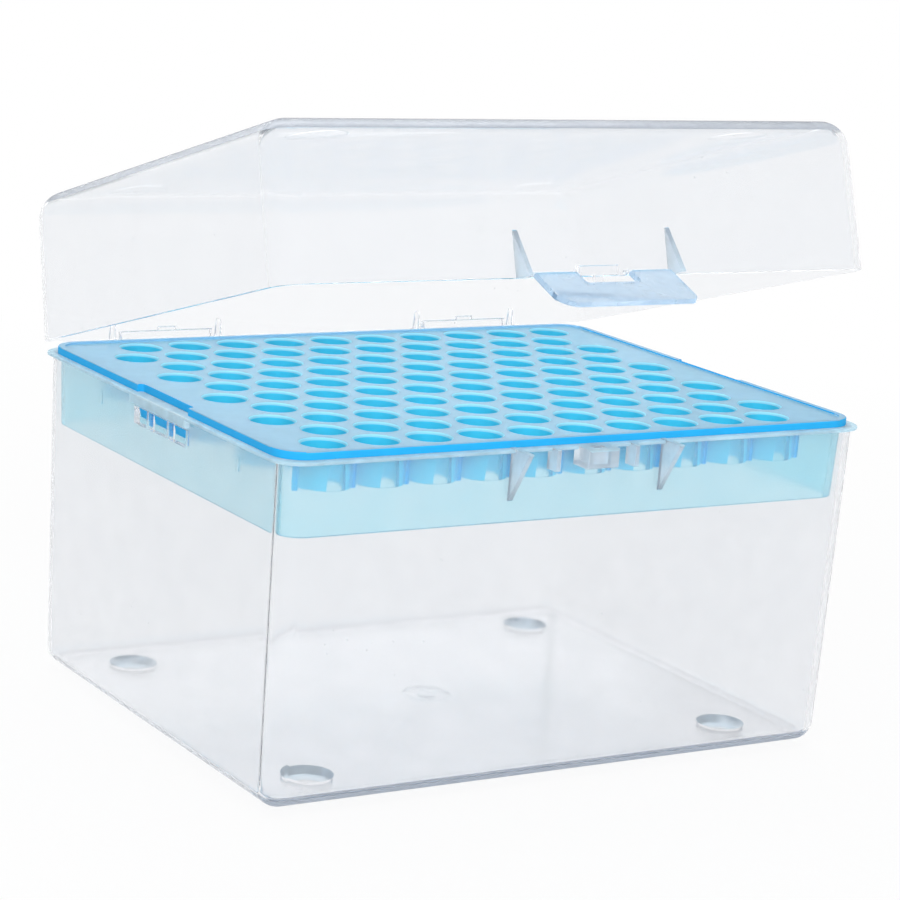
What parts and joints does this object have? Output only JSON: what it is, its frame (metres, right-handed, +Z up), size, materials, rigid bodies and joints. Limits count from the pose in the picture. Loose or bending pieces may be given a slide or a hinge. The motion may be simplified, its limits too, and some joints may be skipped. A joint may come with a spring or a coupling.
{
  "type": "empty pipette tip box",
  "caption": "Clear hinged plastic box with rounded corners, a blue rack of round tip holes inside, and a snap latch flap on the lid.",
  "frame": {"origin": "middle of the box's footprint, on the plane of its feet", "axes": "+Z up, +Y towards the hinge side, +X along the hinge, to the right seen from the latch side"},
  "size_m": [0.125, 0.1142, 0.1185],
  "materials": {
    "clear_shell": "clear, smooth",
    "clear_lid": "clear, smooth",
    "clear_flap": "clear, smooth",
    "blue_rack": "satin, slightly translucent"
  },
  "bodies": {
    "box": {"base_box": "clear_shell", "tip_rack": "blue_rack"},
    "cover": {"lid": "clear_lid"},
    "latch": {"latch_flap": "clear_flap"}
  },
  "joints": [
    {"name": "lid_hinge", "type": "hinge", "parent": "box", "child": "cover", "pos_m": [0, 0.0521, 0.0634], "axis": [-1, 0, 0], "range_deg": [-16.6, 163.4]},
    {"name": "latch_fold", "type": "hinge", "parent": "cover", "child": "latch", "pos_m": [0, -0.04734, 0.09351], "axis": [1, 0, 0], "range_deg": [-37.4, 52.6]}
  ]
}
